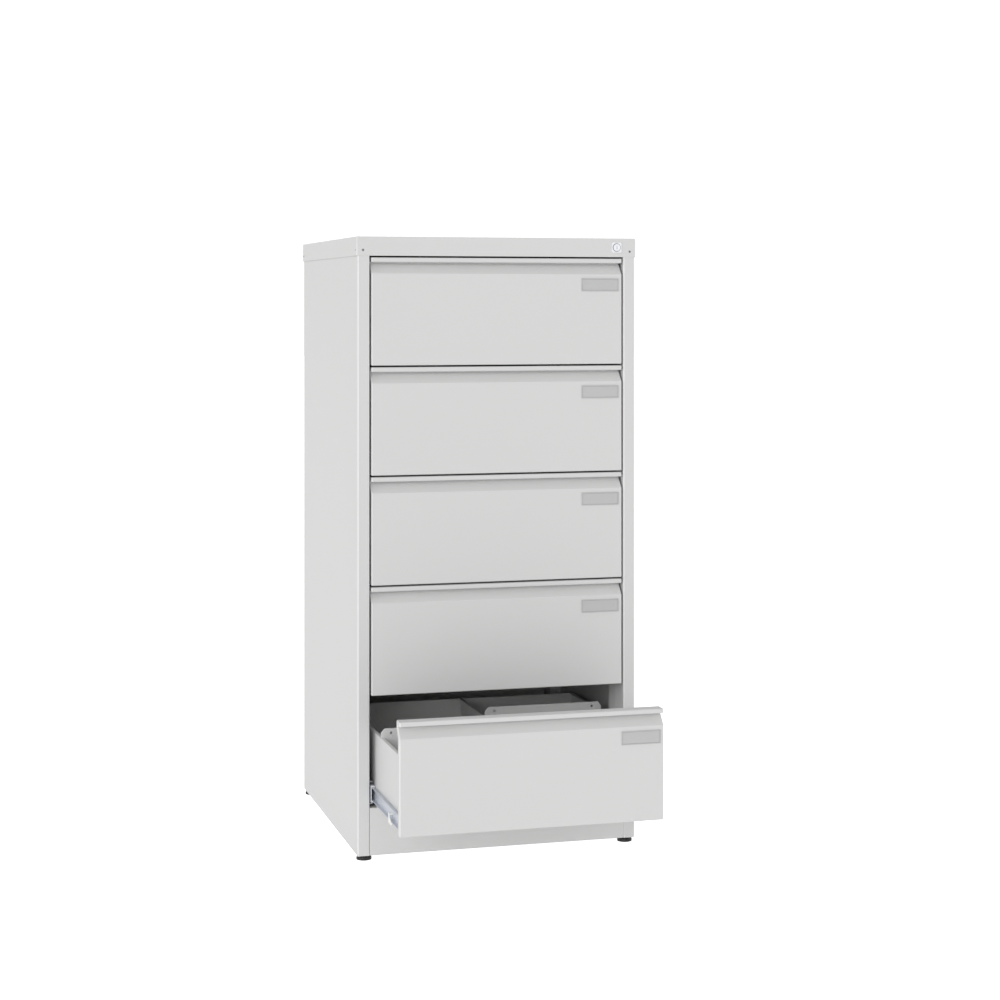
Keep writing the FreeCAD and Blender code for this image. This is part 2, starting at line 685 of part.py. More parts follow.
def lock_catch(foot):
    """Angle on the right wall that the lock bar's lug stands in front of."""
    reach = OPENING_HALF - CATCH_POST_GAP
    low = foot + CATCH_RISE
    rear = CATCH_FRONT + CATCH_LENGTH
    section = bent_sheet(
        [(TRAY_HALF, rear), (TRAY_HALF, CATCH_FRONT), (reach, CATCH_FRONT)], CATCH_THICKNESS, BEND)
    return rise(section, low, low + CATCH_HEIGHT)


def tray(foot):
    """Two side walls, floor, inner front, rear wall and the catch of the lock."""
    floor_half = TRAY_HALF - SHEET - BEND - SEAM
    wall_half = TRAY_HALF - SHEET - SEAM
    floor_low = foot + TRAY_LIFT + SHEET
    wall_top = foot + TRAY_TOP - SHEET - BEND
    floor = box((-floor_half, FRONT_FLANGE, floor_low), (floor_half, TRAY_REAR, floor_low + SHEET))
    inner_front = box(
        (-floor_half, FRONT_FLANGE, floor_low + SHEET), (floor_half, FRONT_FLANGE + SHEET, wall_top))
    rear_wall = box((-wall_half, TRAY_REAR - SHEET, floor_low + SHEET), (wall_half, TRAY_REAR, wall_top))
    return both_sides([tray_side(foot)]) + [floor, inner_front, rear_wall, lock_catch(foot)]


def divider(foot):
    """Upright sheet along the middle of the tray, folded over at its top and its foot."""
    low = foot + TRAY_FLOOR
    top = foot + TRAY_TOP
    hem = DIVIDER_HEM / 2
    section = bent_sheet(
        [(-hem, low + DIVIDER_HEM_HEIGHT), (-hem, low), (hem, low),
         (hem, top), (-hem, top), (-hem, top - DIVIDER_HEM_HEIGHT)],
        SHEET, BEND)
    return run_back(section, FRONT_FLANGE + SHEET, TRAY_REAR - SHEET)


def separator(foot, place):
    """Right-hand separator plate that rests by its two ears on the divider and the wall."""
    ledge = foot + TRAY_TOP + SEAT_GAP
    top = foot + TRAY_TOP + SEPARATOR_RISE
    low = foot + TRAY_FLOOR + SEPARATOR_LIFT
    ear_top = ledge + SEPARATOR_EAR
    left = 2 * SEAT_GAP
    right = TRAY_HALF - SEAT_GAP
    inner_left = DIVIDER_HEM / 2 + EDGE_ROOM
    inner_right = TRAY_HALF - WALL_TOP_FLANGE - EDGE_ROOM
    cut = top - ear_top
    outline = flat_face([
        (left, ledge), (left, ear_top), (left + SEPARATOR_CHAMFER, ear_top + cut),
        (right - SEPARATOR_CHAMFER, ear_top + cut), (right, ear_top), (right, ledge),
        (inner_right, ledge), (inner_right, low), (inner_left, low), (inner_left, ledge)])
    holes = []
    for x in (left + SEPARATOR_HOLE_INSET, right - SEPARATOR_HOLE_INSET):
        height = top - SEPARATOR_HOLE_DROP
        holes.append(rod(SEPARATOR_HOLE_RADIUS, (x, place - 1, height), (x, place + SHEET + 1, height)))
    return run_back(outline, place, place + SHEET).cut(holes)


def label_holder(foot):
    """Shallow frame with a rim around a card."""
    right = FRONT_HALF - LABEL_RIGHT_INSET
    top = foot + FRONT_HEIGHT - LABEL_DROP
    plate = box((right - LABEL_WIDTH, -LABEL_DEPTH, top - LABEL_HEIGHT), (right, 0, top))
    pocket = box(
        (right - LABEL_WIDTH + LABEL_RIM, -LABEL_DEPTH - 1, top - LABEL_HEIGHT + LABEL_RIM),
        (right - LABEL_RIM, -LABEL_BACK, top - LABEL_RIM))
    return plate.cut(pocket)


# ---------------------------------------------------------------- lock

def lock_housing():
    """Square plate, round collar and barrel in one piece, and the nut behind the skirt."""
    half = LOCK_PLATE / 2
    corners = []
    for x, z in ((-half, -half), (half, -half), (half, half), (-half, half)):
        corners.append((Vector(LOCK_X + x, LOCK_Z + z), LOCK_PLATE_ROUND))
    plate = run_back(rounded_face(corners), -LOCK_PLATE_THICKNESS, 0)
    face = -LOCK_PLATE_THICKNESS - LOCK_RING
    rear = LOCK_BARREL_LENGTH
    collar = rod(LOCK_RING_RADIUS, (LOCK_X, face, LOCK_Z), (LOCK_X, 0, LOCK_Z))
    barrel = rod(LOCK_BARREL_RADIUS, (LOCK_X, -LOCK_PLATE_THICKNESS / 2, LOCK_Z), (LOCK_X, rear, LOCK_Z))
    bore = rod(LOCK_CORE_RADIUS + LOCK_RUNNING_GAP, (LOCK_X, face - 1, LOCK_Z), (LOCK_X, rear + 1, LOCK_Z))
    nut = hexagon(LOCK_NUT_WIDTH, (LOCK_X, SHEET, LOCK_Z), (LOCK_X, SHEET + LOCK_NUT, LOCK_Z))
    nut_bore = rod(LOCK_BARREL_RADIUS + LOCK_RUNNING_GAP, (LOCK_X, 0, LOCK_Z), (LOCK_X, 2 * LOCK_NUT, LOCK_Z))
    return [fused([plate, collar, barrel]).cut(bore), nut.cut(nut_bore)]


def lock_core():
    """Turning core with the keyway in its face."""
    face = -LOCK_PLATE_THICKNESS - LOCK_RING
    width, height, depth = KEYWAY
    core = rod(LOCK_CORE_RADIUS, (LOCK_X, face, LOCK_Z), (LOCK_X, CORE_REAR, LOCK_Z))
    keyway = box(
        (LOCK_X - width / 2, face - 1, LOCK_Z - height / 2),
        (LOCK_X + width / 2, face + depth, LOCK_Z + height / 2))
    return core.cut(keyway)


def lock_cam():
    """Arm behind the core, with the pin that lifts the bar. Drawn level, then turned to rest."""
    corner = CAM_WIDTH / 2
    arm = run_back(rounded_face([
        (Vector(-corner, -corner), corner - 0.01), (Vector(CAM_ARM + corner, -corner), corner - 0.01),
        (Vector(CAM_ARM + corner, corner), corner - 0.01), (Vector(-corner, corner), corner - 0.01)]),
        CORE_REAR, CAM_REAR)
    pin = rod(CAM_PIN_RADIUS, (CAM_ARM, CORE_REAR, 0), (CAM_ARM, ARM_FRONT + BAR_THICKNESS + 1, 0))
    cam = fused([arm, pin])
    cam.rotate(Vector(), Vector(0, -1, 0), CAM_REST_ANGLE)
    cam.translate(Vector(LOCK_X, 0, LOCK_Z))
    return cam


def lock_bar():
    """Bar inside the right post, with a welded lug for each drawer and a slotted arm for the cam."""
    pin_angle = math.radians(CAM_REST_ANGLE)
    pin_height = LOCK_Z + CAM_ARM * math.sin(pin_angle)
    slot_half = CAM_PIN_RADIUS + PIN_PLAY
    slot_left = LOCK_X + CAM_ARM * math.cos(pin_angle) - slot_half
    slot_right = LOCK_X + CAM_ARM + slot_half
    arm_low = pin_height - slot_half - BAR_ARM_MARGIN
    arm_high = pin_height + slot_half + BAR_ARM_MARGIN
    bar_low = front_foot(DRAWER_COUNT) + LUG_REST - LUG_HEIGHT
    strip = box((BAR_INNER, BAR_INSET, bar_low), (BAR_OUTER, BAR_INSET + BAR_WIDTH, arm_high))
    arm = box(
        (slot_left - BAR_ARM_MARGIN, ARM_FRONT, arm_low), (BAR_INNER, ARM_FRONT + BAR_THICKNESS, arm_high))
    slot = box(
        (slot_left, ARM_FRONT - 1, pin_height - slot_half),
        (slot_right, ARM_FRONT + BAR_THICKNESS + 1, pin_height + slot_half))
    lugs = []
    for number in drawer_numbers():
        low = front_foot(number) + LUG_REST
        lugs.append(box(
            (TRAY_HALF + LUG_TRAY_GAP, LUG_FRONT, low),
            (BAR_INNER, LUG_FRONT + LUG_THICKNESS, low + LUG_HEIGHT)))
    return [strip, arm.cut(slot)] + lugs


def lock_bar_guides():
    """Blocks on the post's fold that the bar slides through, behind every other drawer."""
    solids = []
    for number in list(drawer_numbers())[::2]:
        low = front_foot(number) + GUIDE_RISE
        block = box(
            (OPENING_HALF + SHEET, BAR_INSET - GUIDE_WALL, low),
            (BAR_OUTER + GUIDE_WALL, BAR_INSET + BAR_WIDTH + GUIDE_WALL, low + GUIDE_HEIGHT))
        passage = box(
            (BAR_INNER - GUIDE_PLAY, BAR_INSET - GUIDE_PLAY, low - 1),
            (BAR_OUTER + GUIDE_PLAY, BAR_INSET + BAR_WIDTH + GUIDE_PLAY, low + GUIDE_HEIGHT + 1))
        solids.append(block.cut(passage))
    return solids


# ---------------------------------------------------------------- nodes

def save_case():
    save("left_side_panel", [mirrored(plain_side_panel())])
    save("right_side_panel", [right_side_panel()])
    save("rear_panel", [rear_panel()])
    save("top_cap", [top_cap()])
    save("plinth_panel", [plinth_panel()])
    save("base_panel", [base_panel()])
    save("uprights", uprights())
    save("cap_rivets", cap_rivets())
    save("foot_nuts", foot_nuts())
    save("slide_outer_members", slide_outer_members())
    save("slide_screws", slide_screws())


def save_lock():
    save("lock_housing", lock_housing())
    save("lock_core", [lock_core()])
    save("lock_cam", [lock_cam()])
    save("lock_bar", lock_bar())
    save("lock_bar_guides", lock_bar_guides())


def save_feet():
    names = ("front_left_foot", "front_right_foot", "rear_left_foot", "rear_right_foot")
    for name, (x, y) in zip(names, foot_places()):
        save(name, levelling_foot(x, y))


def pulled_out(solids, distance):
    """The same solids, moved forward."""
    for solid in solids:
        solid.translate(Vector(0, -distance, 0))
    return solids


def save_drawer(number):
    foot = front_foot(number)
    opened = OPEN_AT_REST if number == DRAWER_COUNT else 0.0
    name = "drawer_" + str(number) + "_"
    save(name + "front", pulled_out([drawer_front(foot)], opened))
    save(name + "tray", pulled_out(tray(foot), opened))
    save(name + "divider", pulled_out([divider(foot)], opened))
    save(name + "left_separator", pulled_out([mirrored(separator(foot, LEFT_SEPARATOR_PLACE))], opened))
    save(name + "right_separator", pulled_out([separator(foot, RIGHT_SEPARATOR_PLACE)], opened))
    save(name + "label_holder", pulled_out([label_holder(foot)], opened))
    save(name + "runners", pulled_out(drawer_runners(number), opened))
    save(name + "slide_middles", pulled_out(slide_middles(number), opened / 2))


os.makedirs("parts", exist_ok=True)
save_case()
save_lock()
save_feet()
for drawer_number in drawer_numbers():
    save_drawer(drawer_number)
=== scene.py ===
import json
import math

import bmesh
import bpy
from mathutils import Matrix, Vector


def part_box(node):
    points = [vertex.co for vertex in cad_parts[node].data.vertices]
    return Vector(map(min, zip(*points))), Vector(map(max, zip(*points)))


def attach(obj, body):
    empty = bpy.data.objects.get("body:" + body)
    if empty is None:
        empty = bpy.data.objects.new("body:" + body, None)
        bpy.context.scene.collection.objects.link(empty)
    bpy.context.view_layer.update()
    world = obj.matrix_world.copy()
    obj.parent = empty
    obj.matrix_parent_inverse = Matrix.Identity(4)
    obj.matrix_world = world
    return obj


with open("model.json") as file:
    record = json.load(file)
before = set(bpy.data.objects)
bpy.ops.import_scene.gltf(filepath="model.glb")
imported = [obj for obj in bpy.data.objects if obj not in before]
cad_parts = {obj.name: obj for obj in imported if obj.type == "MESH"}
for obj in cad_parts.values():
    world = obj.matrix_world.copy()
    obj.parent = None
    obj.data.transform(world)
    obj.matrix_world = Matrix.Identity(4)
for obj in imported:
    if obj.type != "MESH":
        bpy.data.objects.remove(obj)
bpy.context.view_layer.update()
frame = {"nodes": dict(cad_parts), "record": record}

# ---------------------------------------------------------------- names and places from the frame

DRAWERS = [1, 2, 3, 4, 5]
FEET = ["front_left_foot", "front_right_foot", "rear_left_foot", "rear_right_foot"]
MM = 0.001

# ---------------------------------------------------------------- finishes, linear colours

PAINT_GREY = (0.640, 0.640, 0.637)
ZINC = (0.70, 0.73, 0.79)
ZINC_DARK = (0.56, 0.59, 0.65)
NICKEL = (0.93, 0.94, 0.97)
NICKEL_SHADE = (0.84, 0.86, 0.91)
LABEL_GREY = (0.44, 0.44, 0.44)
CARD_GREY = (0.50, 0.50, 0.50)
BLACK_PLASTIC = (0.012, 0.012, 0.013)
WHITE_PLASTIC = (0.80, 0.80, 0.78)
# dark grey of the cap rivets: painted shade, standing for the shade in the rivet holes
RIVET_PAINTED_SHADE_GREY = (0.26, 0.26, 0.27)
SEAM_GREY = (0.22, 0.22, 0.22)
FLOOR_WHITE = (0.93, 0.93, 0.93)

# ---------------------------------------------------------------- sizes of the added pieces, metres

BALL_RADIUS = 1.9 * MM
BALL_STEP = 9.0 * MM
BALLS_IN_A_CAGE = 15
OUTER_BALL_INSET = 3.9 * MM         # balls to the back of the middle member
INNER_BALL_RADIUS = 1.25 * MM
INNER_BALL_INSET = 3.55 * MM        # balls to the open edge of the drawer's member
INNER_BALL_RISE = 1.55 * MM         # balls above and below the drawer's member
LABEL_RIM = 1.6 * MM
LABEL_BACK = 0.8 * MM
CARD_THICKNESS = 0.3 * MM
CARD_MARGIN = 0.5 * MM
CARD_BOW = 0.35 * MM
CARD_COLUMNS = 12
RIVET_RADIUS = 2.6 * MM
RIVET_HEIGHT = 0.9 * MM
REAR_RIVET_STEP = 170.0 * MM
REAR_RIVETS = 8
REAR_RIVET_INSET = 11.0 * MM        # rivets to the outside of the side panel
REAR_RIVET_RISE = 25.0 * MM         # lowest rivet above the foot of the side panel
FOOT_RIBS = 28
FOOT_RIB_SIZE = (1.0 * MM, 1.2 * MM, 4.0 * MM)
FOOT_RIB_HEIGHT = 2.4 * MM          # middle of the ribs above the floor
FOOT_RIB_INSET = 0.45 * MM
LOCK_SEAL_RADIUS = 8.1 * MM
LOCK_SEAL_THICKNESS = 0.75 * MM
LOCK_COLLAR = 1.7 * MM              # collar in front of the square plate
CAGE_LENGTH = 150.0 * MM
CAGE_END_ROOM = 24.0 * MM
LEVER_PLACE = 72.0 * MM             # release lever behind the face of its drawer
LEVER_LENGTH = 34.0 * MM
LEVER_DROP = 4.5 * MM
GUIDE_GAP = 0.4 * MM                # drawer's member to the white guide
GUIDE_ARM = 2.3 * MM
GUIDE_WEB = 0.7 * MM
GUIDE_BACK_INSET = 1.3 * MM         # guide to the back of the middle member
GUIDE_WIDTH = 9.0 * MM
GUIDE_PROUD = 3.0 * MM              # guide in front of the middle member
GUIDE_LENGTH = 17.0 * MM
LEVER_GAP = 0.1 * MM
LEVER_THICKNESS = 1.4 * MM
HUB_RADIUS = 3.0 * MM
HUB_REACH = 6.4 * MM                # hub into the channel of the drawer's member
CAP_SKIRT = 39.0 * MM
CAP_TAB = 0.3 * MM                  # how far a corner tab of the cap stands proud
CAP_TAB_EDGE = 0.12 * MM

# ---------------------------------------------------------------- stage, lights and camera

FLOOR_HALF = 40.0
FLOOR_GLOW = 0.28
FLOOR_SEEN = 0.9                    # glow of the floor for the camera alone
HORIZON_STRENGTH = 0.83
ZENITH_DROP = 0.27
BACKDROP_SEEN = 1.1                 # strength of the backdrop for the camera alone
LIGHT_SPREAD = 25.0                 # degrees
LIGHT_DISTANCE = 4.0
FRONT_LIGHT = (28.0, 14.0, 0.72)    # azimuth, elevation and strength
SIDE_LIGHT = (72.0, 12.0, 0.40)
CAMERA_PLACE = (-1.14628, -4.38066, 1.13634)
CAMERA_TURN = -15.3117              # degrees
CAMERA_LENS = 75.66
CAMERA_SHIFT = -0.1974


# ---------------------------------------------------------------- shader groups

def add_socket(tree, name, kind, in_out, default=None):
    socket = tree.interface.new_socket(name=name, in_out=in_out, socket_type=kind)
    if default is not None:
        socket.default_value = default
    return socket


def group_shell(name, inputs, outputs):
    """Empty shader group with named sockets. Returns the tree and its two end nodes."""
    tree = bpy.data.node_groups.new(name, "ShaderNodeTree")
    for socket_name, kind, default in inputs:
        add_socket(tree, socket_name, kind, "INPUT", default)
    for socket_name, kind in outputs:
        add_socket(tree, socket_name, kind, "OUTPUT")
    return tree, tree.nodes.new("NodeGroupInput"), tree.nodes.new("NodeGroupOutput")


def maths(tree, operation, first, second=None, clamp=False):
    """Math node. Each value is a socket or a number."""
    node = tree.nodes.new("ShaderNodeMath")
    node.operation = operation
    node.use_clamp = clamp
    for i, value in enumerate((first, second)):
        if value is None:
            continue
        if isinstance(value, (int, float)):
            node.inputs[i].default_value = value
        else:
            tree.links.new(value, node.inputs[i])
    return node.outputs[0]


def noise(tree, coordinates, scale, detail=2.0, roughness=0.5):
    """Noise value at a scale, which is a socket or a number."""
    node = tree.nodes.new("ShaderNodeTexNoise")
    node.inputs["Detail"].default_value = detail
    node.inputs["Roughness"].default_value = roughness
    tree.links.new(coordinates, node.inputs["Vector"])
    if isinstance(scale, (int, float)):
        node.inputs["Scale"].default_value = scale
    else:
        tree.links.new(scale, node.inputs["Scale"])
    return node.outputs["Fac"]


def stretched(tree, coordinates, factors):
    """Coordinates scaled along each axis, for a grain with a direction."""
    node = tree.nodes.new("ShaderNodeMapping")
    node.inputs["Scale"].default_value = factors
    tree.links.new(coordinates, node.inputs["Vector"])
    return node.outputs["Vector"]


def mixed(tree, factor, first, second):
    """Colour mix. Each value is a socket or a colour."""
    node = tree.nodes.new("ShaderNodeMix")
    node.data_type = "RGBA"
    if isinstance(factor, (int, float)):
        node.inputs["Factor"].default_value = factor
    else:
        tree.links.new(factor, node.inputs["Factor"])
    for name, value in (("A", first), ("B", second)):
        socket = [s for s in node.inputs if s.name == name and s.type == "RGBA"][0]
        if isinstance(value, tuple):
            socket.default_value = (*value, 1.0)
        else:
            tree.links.new(value, socket)
    return [s for s in node.outputs if s.type == "RGBA"][0]


def grain_group():
    """Fine surface grain and slow cloudiness: a height, a roughness shift and a tint mask."""
    tree, start, end = group_shell(
        "surface_grain",
        [("Vector", "NodeSocketVector", None), ("Grain Scale", "NodeSocketFloat", 900.0),
         ("Cloud Scale", "NodeSocketFloat", 5.0), ("Roughness Swing", "NodeSocketFloat", 0.05)],
        [("Height", "NodeSocketFloat"), ("Roughness Shift", "NodeSocketFloat"), ("Tint", "NodeSocketFloat")])
    fine = noise(tree, start.outputs["Vector"], start.outputs["Grain Scale"], 3.0)
    cloud = noise(tree, start.outputs["Vector"], start.outputs["Cloud Scale"], 4.0)
    shift = maths(tree, "MULTIPLY", maths(tree, "SUBTRACT", cloud, 0.5), start.outputs["Roughness Swing"])
    tree.links.new(fine, end.inputs["Height"])
    tree.links.new(shift, end.inputs["Roughness Shift"])
    tree.links.new(cloud, end.inputs["Tint"])
    return tree


def edge_highlight_group():
    """Mask of the outer edges, where the sheet is folded or cut, and of the rounded vertical bends, where a
    painted highlight goes.
    """
    tree, start, end = group_shell(
        "edge_highlight_mask", [("Strength", "NodeSocketFloat", 1.0)], [("Mask", "NodeSocketFloat")])
    geometry = tree.nodes.new("ShaderNodeNewGeometry")
    bevel = tree.nodes.new("ShaderNodeBevel")
    bevel.samples = 4
    bevel.inputs["Radius"].default_value = 0.9 * MM
    product = tree.nodes.new("ShaderNodeVectorMath")
    product.operation = "DOT_PRODUCT"
    tree.links.new(geometry.outputs["Normal"], product.inputs[0])
    tree.links.new(bevel.outputs["Normal"], product.inputs[1])
    corner = maths(tree, "SUBTRACT", 1.0, product.outputs["Value"], clamp=True)
    split = tree.nodes.new("ShaderNodeSeparateXYZ")
    tree.links.new(geometry.outputs["Normal"], split.inputs["Vector"])
    # across and bend: rounded vertical bends, whose normals lie between front and side; they get the painted
    # highlight
    across = maths(tree, "ABSOLUTE", maths(tree, "MULTIPLY", split.outputs["X"], split.outputs["Y"]))
    bend = maths(tree, "MULTIPLY", across, 2.0, clamp=True)
    edge = maths(tree, "MAXIMUM", corner, bend)
    mask = maths(tree, "MULTIPLY", edge, start.outputs["Strength"], clamp=True)
    tree.links.new(mask, end.inputs["Mask"])
    return tree


def dust_group():
    """Mask of the faint dust that lies on faces that look up."""
    tree, start, end = group_shell(
        "settled_dust",
        [("Vector", "NodeSocketVector", None), ("Amount", "NodeSocketFloat", 0.1)],
        [("Mask", "NodeSocketFloat")])
    geometry = tree.nodes.new("ShaderNodeNewGeometry")
    split = tree.nodes.new("ShaderNodeSeparateXYZ")
    tree.links.new(geometry.outputs["Normal"], split.inputs["Vector"])
    up = maths(tree, "POWER", maths(tree, "MAXIMUM", split.outputs["Z"], 0.0), 3.0)
    patches = noise(tree, start.outputs["Vector"], 60.0, 5.0, 0.6)
    mask = maths(tree, "MULTIPLY", maths(tree, "MULTIPLY", up, patches), start.outputs["Amount"], clamp=True)
    tree.links.new(mask, end.inputs["Mask"])
    return tree


GRAIN = grain_group()
EDGES = edge_highlight_group()
DUST = dust_group()


# ---------------------------------------------------------------- materials

def placed_group(tree, group, values):
    node = tree.nodes.new("ShaderNodeGroup")
    node.node_tree = group
    for name, value in values.items():
        if isinstance(value, (int, float)):
            node.inputs[name].default_value = value
        else:
            tree.links.new(value, node.inputs[name])
    return node


def blank_material(name):
    """Material with a Principled shader. Returns it with its tree, shader and Object coordinates."""
    material = bpy.data.materials.new(name)
    material.use_nodes = True
    tree = material.node_tree
    shader = tree.nodes["Principled BSDF"]
    coordinates = tree.nodes.new("ShaderNodeTexCoord").outputs["Object"]
    return material, tree, shader, coordinates


def finish_surface(tree, shader, colour, roughness, height, depth):
    """Links colour and roughness, and a bump of a depth in metres."""
    tree.links.new(colour, shader.inputs["Base Color"])
    tree.links.new(roughness, shader.inputs["Roughness"])
    bump = tree.nodes.new("ShaderNodeBump")
    bump.inputs["Strength"].default_value = 1.0
    bump.inputs["Distance"].default_value = depth
    tree.links.new(height, bump.inputs["Height"])
    tree.links.new(bump.outputs["Normal"], shader.inputs["Normal"])


def powder_coat(name, colour, roughness=0.42):
    """Satin powder coat: orange-peel grain, faint clouds, a painted highlight along edges and bends, a
    little dust.
    """
    material, tree, shader, place = blank_material(name)
    grain = placed_group(tree, GRAIN, {"Vector": place, "Grain Scale": 750.0, "Cloud Scale": 4.0,
                                       "Roughness Swing": 0.10})
    edges = placed_group(tree, EDGES, {"Strength": 0.9})
    dust = placed_group(tree, DUST, {"Vector": place, "Amount": 0.10})
    dark = tuple(c * 0.985 for c in colour)
    light = tuple(min(1.0, c * 1.28) for c in colour)
    body = mixed(tree, grain.outputs["Tint"], dark, colour)
    # painted highlight: edges and bends are mixed towards the lighter colour
    body = mixed(tree, edges.outputs["Mask"], body, light)
    body = mixed(tree, dust.outputs["Mask"], body, (0.58, 0.56, 0.53))
    rough = maths(tree, "ADD", grain.outputs["Roughness Shift"], roughness)
    rough = maths(tree, "ADD", rough, maths(tree, "MULTIPLY", dust.outputs["Mask"], 0.5))
    finish_surface(tree, shader, body, rough, grain.outputs["Height"], 0.012 * MM)
    shader.inputs["Specular IOR Level"].default_value = 0.4
    return material


def plated_steel(name, colour, shade, roughness, stretch, metallic=1.0, depth=0.01 * MM):
    """Plated or drawn steel with a grain along one axis and cloudy shades."""
    material, tree, shader, place = blank_material(name)
    drawn = stretched(tree, place, stretch)
    grain = placed_group(tree, GRAIN, {"Vector": drawn, "Grain Scale": 600.0, "Cloud Scale": 40.0,
                                       "Roughness Swing": 0.25})
    edges = placed_group(tree, EDGES, {"Strength": 0.8})
    body = mixed(tree, grain.outputs["Tint"], shade, colour)
    # painted highlight: edges and bends take the lighter colour, without the darker clouds
    body = mixed(tree, edges.outputs["Mask"], body, colour)
    rough = maths(tree, "ADD", grain.outputs["Roughness Shift"], roughness, clamp=True)
    finish_surface(tree, shader, body, rough, grain.outputs["Height"], depth)
    shader.inputs["Metallic"].default_value = metallic
    return material


def moulded_plastic(name, colour, roughness=0.5):
    """Moulded plastic with a spark-eroded grain."""
    material, tree, shader, place = blank_material(name)
    grain = placed_group(tree, GRAIN, {"Vector": place, "Grain Scale": 1600.0, "Cloud Scale": 25.0,
                                       "Roughness Swing": 0.15})
    dust = placed_group(tree, DUST, {"Vector": place, "Amount": 0.25})
    light = tuple(min(1.0, c * 1.12 + 0.004) for c in colour)
    body = mixed(tree, grain.outputs["Tint"], colour, light)
    body = mixed(tree, dust.outputs["Mask"], body, (0.35, 0.34, 0.32))
    rough = maths(tree, "ADD", grain.outputs["Roughness Shift"], roughness)
    finish_surface(tree, shader, body, rough, grain.outputs["Height"], 0.03 * MM)
    return material


def card_stock(name, colour):
    """Matt card with fibres that lie mostly along its length."""
    material, tree, shader, place = blank_material(name)
    fibres = stretched(tree, place, (0.25, 1.0, 1.0))
    grain = placed_group(tree, GRAIN, {"Vector": fibres, "Grain Scale": 2200.0, "Cloud Scale": 90.0,
                                       "Roughness Swing": 0.08})
    body = mixed(tree, grain.outputs["Tint"], tuple(c * 0.96 for c in colour), colour)
    rough = maths(tree, "ADD", grain.outputs["Roughness Shift"], 0.72)
    finish_surface(tree, shader, body, rough, grain.outputs["Height"], 0.02 * MM)
    return material


CASE_PAINT = powder_coat("case_powder_coat", PAINT_GREY)
SLIDE_STEEL = plated_steel("drawn_zinc_steel", ZINC, ZINC_DARK, 0.38, (1.0, 0.06, 1.0), 0.55)
BALL_STEEL = plated_steel("polished_ball_steel", NICKEL, ZINC, 0.12, (1.0, 1.0, 1.0))
FASTENER_ZINC = plated_steel("fastener_zinc", ZINC, ZINC_DARK, 0.38, (1.0, 1.0, 1.0))
# cap rivets: steel, painted dark grey as shade for the shaded rivet holes
RIVET_STEEL = plated_steel("rivet_steel_painted_shade", RIVET_PAINTED_SHADE_GREY, RIVET_PAINTED_SHADE_GREY, 0.45, (1.0, 1.0, 1.0), 0.4)
LOCK_NICKEL = plated_steel("lock_nickel", NICKEL, NICKEL_SHADE, 0.30, (1.0, 1.0, 0.2), 0.35, 0.004 * MM)
LABEL_PLASTIC = moulded_plastic("label_frame_plastic", LABEL_GREY, 0.45)
FOOT_PLASTIC = moulded_plastic("foot_black_plastic", BLACK_PLASTIC, 0.42)
GUIDE_PLASTIC = moulded_plastic("natural_white_plastic", WHITE_PLASTIC, 0.40)
SEAL_RUBBER = moulded_plastic("lock_seal_rubber", SEAM_GREY, 0.60)
LABEL_CARD = card_stock("label_card", CARD_GREY)

SLOT_FINISH = {
    "painted_steel": CASE_PAINT, "bright_zinc": SLIDE_STEEL, "chrome": LOCK_NICKEL,
    "black_plastic": FOOT_PLASTIC, "label_frame": LABEL_PLASTIC, "white_plastic": GUIDE_PLASTIC,
}
NODE_FINISH = {"cap_rivets": RIVET_STEEL, "slide_screws": FASTENER_ZINC, "foot_nuts": FASTENER_ZINC}


def dress_nodes():
    """Gives every CAD node its finish."""
    for entry in frame["record"]["subparts"]:
        name = entry["node"]
        finish = NODE_FINISH.get(name, SLOT_FINISH[entry["material_slot"]])
        node = frame["nodes"][name]
        for i in range(len(node.material_slots)):
            node.material_slots[i].material = finish


# ---------------------------------------------------------------- mesh helpers

def mesh_piece(name, points, faces, material, body):
    """Mesh object in the row frame, riding on a body."""
    mesh = bpy.data.meshes.new(name)
    mesh.from_pydata([tuple(p) for p in points], [], faces)
    mesh.materials.append(material)
    return placed_piece(name, mesh, body)


def placed_piece(name, mesh, body):
    piece = bpy.data.objects.new(name, mesh)
    bpy.context.scene.collection.objects.link(piece)
    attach(piece, body)
    return piece


def recalculated(piece, smooth, edge=0.0):
    """Turns all faces of a closed mesh outwards, rounds its edges and shades it smooth if asked."""
    work = bmesh.new()
    work.from_mesh(piece.data)
    bmesh.ops.recalc_face_normals(work, faces=work.faces)
    if edge > 0:
        bmesh.ops.bevel(work, geom=work.edges[:], offset=edge, segments=2, profile=0.6, affect="EDGES")
    for face in work.faces:
        face.smooth = smooth
    work.to_mesh(piece.data)
    work.free()


